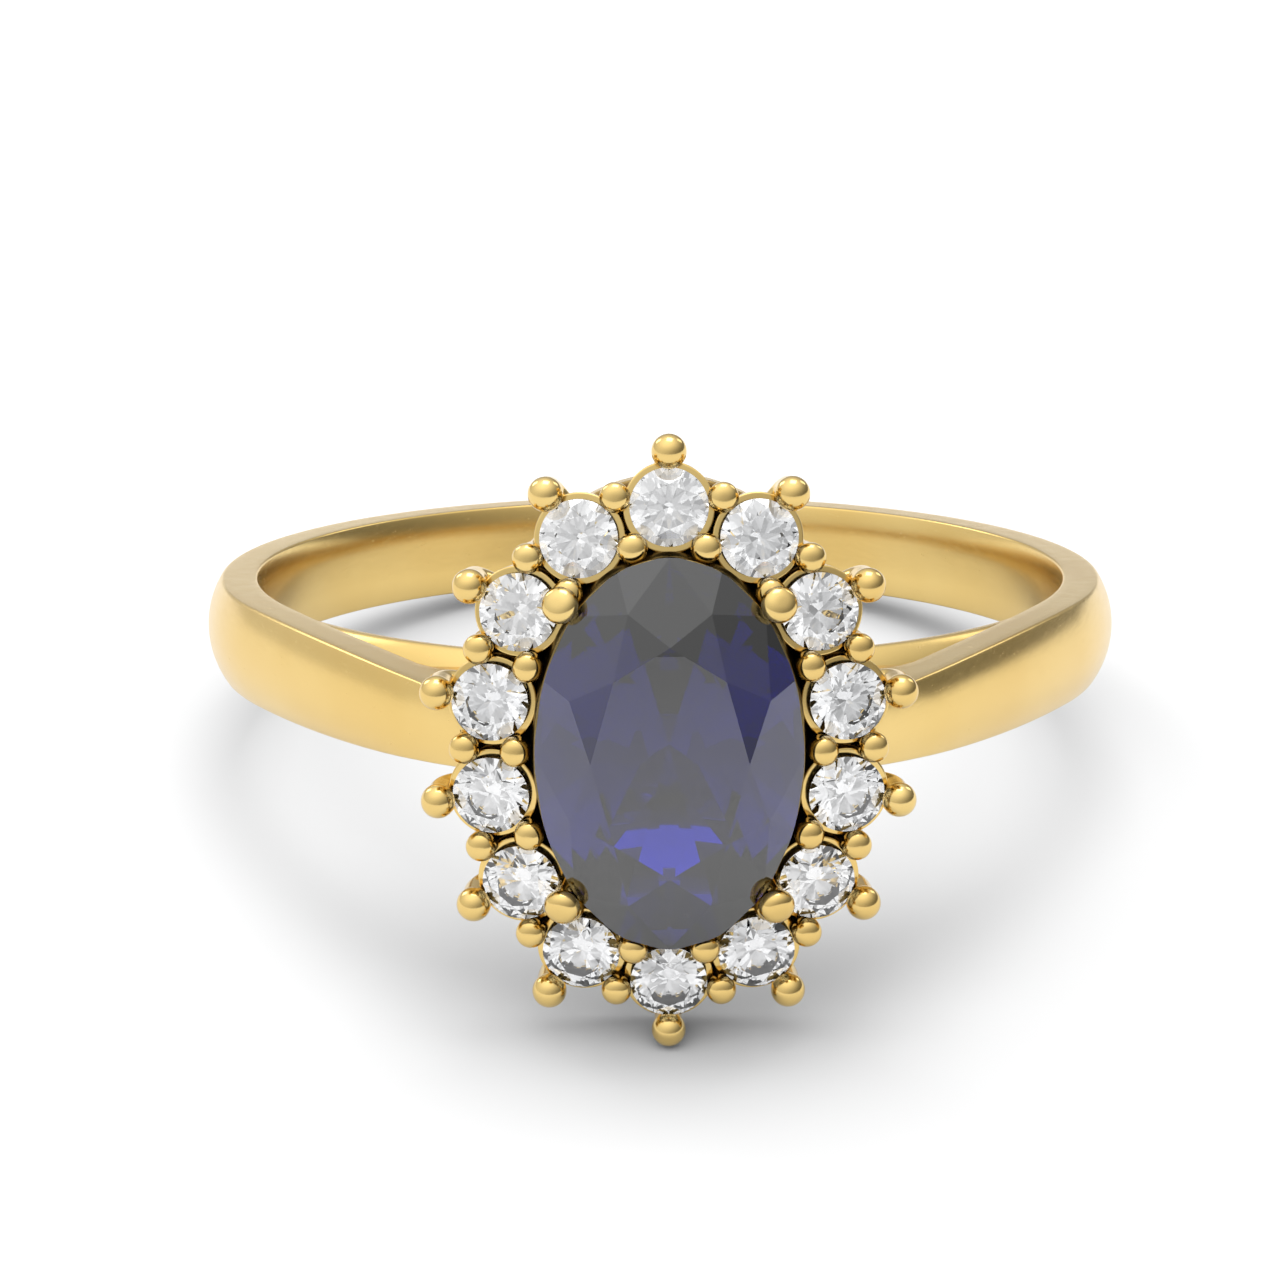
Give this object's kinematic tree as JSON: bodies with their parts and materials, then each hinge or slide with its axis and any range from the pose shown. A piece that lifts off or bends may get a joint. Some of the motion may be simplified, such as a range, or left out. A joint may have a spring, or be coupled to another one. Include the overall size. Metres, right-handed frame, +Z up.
{
  "type": "engagement ring",
  "caption": "Yellow gold finger ring with a large oval faceted blue stone in claws, framed by small round clear stones with ball-tipped claws, on a domed band that rises to the head",
  "frame": {"origin": "on the table under the middle of the ring's box, with the ring resting as it lies: on the back lower edge of the band and the ball of its lowest outer claw", "axes": "+Z up from the table; the head with its stones faces -Y and leans back; the back of the band is towards +Y; +X is to the right of someone who faces the stones; the finger axis leans from +Z towards +Y by about 12 degrees"},
  "size_m": [0.0194, 0.0228, 0.011],
  "materials": {
    "yellow_gold": "polished 18 karat yellow gold",
    "sapphire": "faceted and polished dark blue corundum",
    "diamond": "faceted and polished colourless diamond"
  },
  "bodies": {
    "root": {"shank": "yellow_gold", "left_shoulder": "yellow_gold", "right_shoulder": "yellow_gold", "gallery_rail": "yellow_gold", "centre_seat": "yellow_gold", "centre_claw_1": "yellow_gold", "centre_claw_2": "yellow_gold", "centre_claw_3": "yellow_gold", "centre_claw_4": "yellow_gold", "halo_collet_01": "yellow_gold", "halo_collet_02": "yellow_gold", "halo_collet_03": "yellow_gold", "halo_collet_04": "yellow_gold", "halo_collet_05": "yellow_gold", "halo_collet_06": "yellow_gold", "halo_collet_07": "yellow_gold", "halo_collet_08": "yellow_gold", "halo_collet_09": "yellow_gold", "halo_collet_10": "yellow_gold", "halo_collet_11": "yellow_gold", "halo_collet_12": "yellow_gold", "halo_collet_13": "yellow_gold", "halo_collet_14": "yellow_gold", "outer_claw_01": "yellow_gold", "outer_claw_02": "yellow_gold", "outer_claw_03": "yellow_gold", "outer_claw_04": "yellow_gold", "outer_claw_05": "yellow_gold", "outer_claw_06": "yellow_gold", "outer_claw_07": "yellow_gold", "outer_claw_08": "yellow_gold", "outer_claw_09": "yellow_gold", "outer_claw_10": "yellow_gold", "outer_claw_11": "yellow_gold", "outer_claw_12": "yellow_gold", "outer_claw_13": "yellow_gold", "outer_claw_14": "yellow_gold", "outer_beads": "yellow_gold", "inner_beads": "yellow_gold", "centre_sapphire": "sapphire", "halo_stone_01": "diamond", "halo_stone_02": "diamond", "halo_stone_03": "diamond", "halo_stone_04": "diamond", "halo_stone_05": "diamond", "halo_stone_06": "diamond", "halo_stone_07": "diamond", "halo_stone_08": "diamond", "halo_stone_09": "diamond", "halo_stone_10": "diamond", "halo_stone_11": "diamond", "halo_stone_12": "diamond", "halo_stone_13": "diamond", "halo_stone_14": "diamond"}
  },
  "joints": []
}
